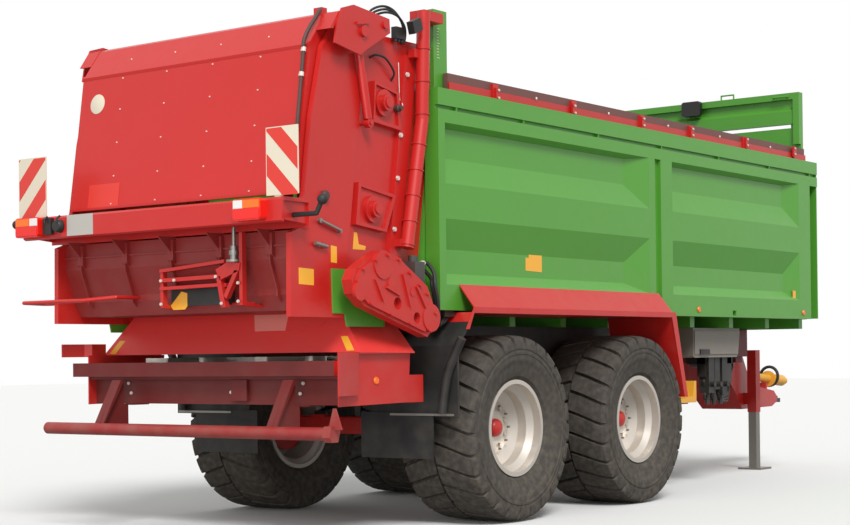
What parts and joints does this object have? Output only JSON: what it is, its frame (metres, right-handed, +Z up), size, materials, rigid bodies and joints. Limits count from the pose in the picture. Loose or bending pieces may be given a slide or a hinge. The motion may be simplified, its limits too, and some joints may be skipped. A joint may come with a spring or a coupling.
{
  "type": "manure spreader",
  "caption": "Towed manure spreader with an open load box, scraper floor, lying beaters, spreading discs, a lifting rear flap and a bogie with wide wheels.",
  "frame": {"origin": "on the ground, in the middle plane, half-way along the overall length", "axes": "+X to the drawbar, +Y to the machine's left, +Z up"},
  "size_m": [9.9677, 2.9676, 3.883],
  "materials": {
    "tyre": "worn rubber",
    "silver": "satin silver paint",
    "red": "gloss red paint",
    "dark_red": "satin red paint",
    "green": "gloss green paint",
    "black_metal": "satin black paint",
    "steel": "worn steel",
    "board": "stained board",
    "black_plastic": "matt moulded plastic",
    "black_rubber": "matt rubber",
    "grey_plastic": "matt grey plastic",
    "yellow_plastic": "yellow moulded plastic",
    "lens": "clear red lens",
    "sign": "reflective sheet",
    "cast": "painted casting",
    "chrome": "polished"
  },
  "bodies": {
    "machine": {"air_tank": "black_metal", "axle_front": "red", "axle_rear": "red", "board_strips": "red", "bogie_springs": "black_metal", "chassis_frame": "red", "corner_plates": "green", "coupling_eye": "cast", "disc_deck": "red", "disc_gearboxes": "cast", "drawbar": "red", "drive_shaft": "yellow_plastic", "fenders": "red", "floor": "green", "floor_drive_case": "red", "floor_drive_motor": "cast", "front_wall": "green", "gate_posts": "green", "grab_rail": "red", "guard_tubes": "red", "hood_wall": "dark_red", "input_gearbox": "red", "jack_tube": "red", "lamp_bar": "red", "lever_frame": "red", "marker_arms": "black_rubber", "mudflaps": "black_rubber", "rear_lamps": "lens", "scraper_floor": "steel", "spreader_side_left": "red", "spreader_side_right": "red", "toolbox": "grey_plastic", "top_boards": "board", "underride_guard": "red", "wall_left": "green", "wall_right": "green", "warning_boards": "sign", "wheel_chock": "yellow_plastic", "work_lamp": "black_plastic"},
    "wheel_rear_right": {"tyre_rear_right": "tyre", "rim_rear_right": "silver"},
    "wheel_front_right": {"tyre_front_right": "tyre", "rim_front_right": "silver"},
    "wheel_rear_left": {"tyre_rear_left": "tyre", "rim_rear_left": "silver"},
    "wheel_front_left": {"tyre_front_left": "tyre", "rim_front_left": "silver"},
    "upper_beater": {"beater_upper": "red"},
    "lower_beater": {"beater_lower": "red"},
    "spreading_disc_right": {"disc_right": "steel"},
    "spreading_disc_left": {"disc_left": "steel"},
    "rear_flap": {"flap": "red", "flap_arms": "red"},
    "gate": {"slurry_gate": "green"},
    "jack": {"jack_leg": "steel"},
    "barrel_right": {"cylinder_barrel_right": "red"},
    "rod_right": {"cylinder_rod_right": "chrome"},
    "barrel_left": {"cylinder_barrel_left": "red"},
    "rod_left": {"cylinder_rod_left": "chrome"}
  },
  "joints": [
    {"name": "wheel_rear_right_turn", "type": "hinge", "parent": "machine", "child": "wheel_rear_right", "pos_m": [-2.4625, -1.055, 0.69], "axis": [0, 1, 0], "continuous": true},
    {"name": "wheel_front_right_turn", "type": "hinge", "parent": "machine", "child": "wheel_front_right", "pos_m": [-0.6525, -1.055, 0.69], "axis": [0, 1, 0], "continuous": true},
    {"name": "wheel_rear_left_turn", "type": "hinge", "parent": "machine", "child": "wheel_rear_left", "pos_m": [-2.4625, 1.055, 0.69], "axis": [0, 1, 0], "continuous": true},
    {"name": "wheel_front_left_turn", "type": "hinge", "parent": "machine", "child": "wheel_front_left", "pos_m": [-0.6525, 1.055, 0.69], "axis": [0, 1, 0], "continuous": true},
    {"name": "upper_beater_turn", "type": "hinge", "parent": "machine", "child": "upper_beater", "pos_m": [-3.7625, 0, 2.96], "axis": [0, 1, 0], "continuous": true},
    {"name": "lower_beater_turn", "type": "hinge", "parent": "machine", "child": "lower_beater", "pos_m": [-3.8925, 0, 2.225], "axis": [0, 1, 0], "continuous": true},
    {"name": "disc_right_turn", "type": "hinge", "parent": "machine", "child": "spreading_disc_right", "pos_m": [-3.8325, -0.53, 1.165], "axis": [0, 0, 1], "continuous": true},
    {"name": "disc_left_turn", "type": "hinge", "parent": "machine", "child": "spreading_disc_left", "pos_m": [-3.8325, 0.53, 1.165], "axis": [0, 0, 1], "continuous": true},
    {"name": "flap_lift", "type": "hinge", "parent": "machine", "child": "rear_flap", "pos_m": [-3.8425, 0, 3.47], "axis": [0, 1, 0], "range_deg": [0, 60]},
    {"name": "gate_lift", "type": "slide", "parent": "machine", "child": "gate", "axis": [0.1475, 0, 0.9891], "range_m": [0, 1]},
    {"name": "jack_lift", "type": "slide", "parent": "machine", "child": "jack", "axis": [0, 0, 1], "range_m": [0, 0.35]},
    {"name": "barrel_right_swing", "type": "hinge", "parent": "machine", "child": "barrel_right", "pos_m": [-3.9625, -1.16, 2.8], "axis": [0, 1, 0], "range_deg": [-1, 7.6]},
    {"name": "rod_right_slide", "type": "slide", "parent": "barrel_right", "child": "rod_right", "axis": [-0.1882, 0, 0.9821], "range_m": [-0.001, 0.2326]},
    {"name": "barrel_left_swing", "type": "hinge", "parent": "machine", "child": "barrel_left", "pos_m": [-3.9625, 1.16, 2.8], "axis": [0, 1, 0], "range_deg": [-1, 7.6]},
    {"name": "rod_left_slide", "type": "slide", "parent": "barrel_left", "child": "rod_left", "axis": [-0.1882, 0, 0.9821], "range_m": [-0.001, 0.2326]}
  ],
  "couplings": [
    {"joint": "barrel_right_swing", "follows": "flap_lift", "ratio": 0.11006},
    {"joint": "rod_right_slide", "follows": "flap_lift", "m_per_rad": 0.22118},
    {"joint": "barrel_left_swing", "follows": "flap_lift", "ratio": 0.11006},
    {"joint": "rod_left_slide", "follows": "flap_lift", "m_per_rad": 0.22118}
  ]
}
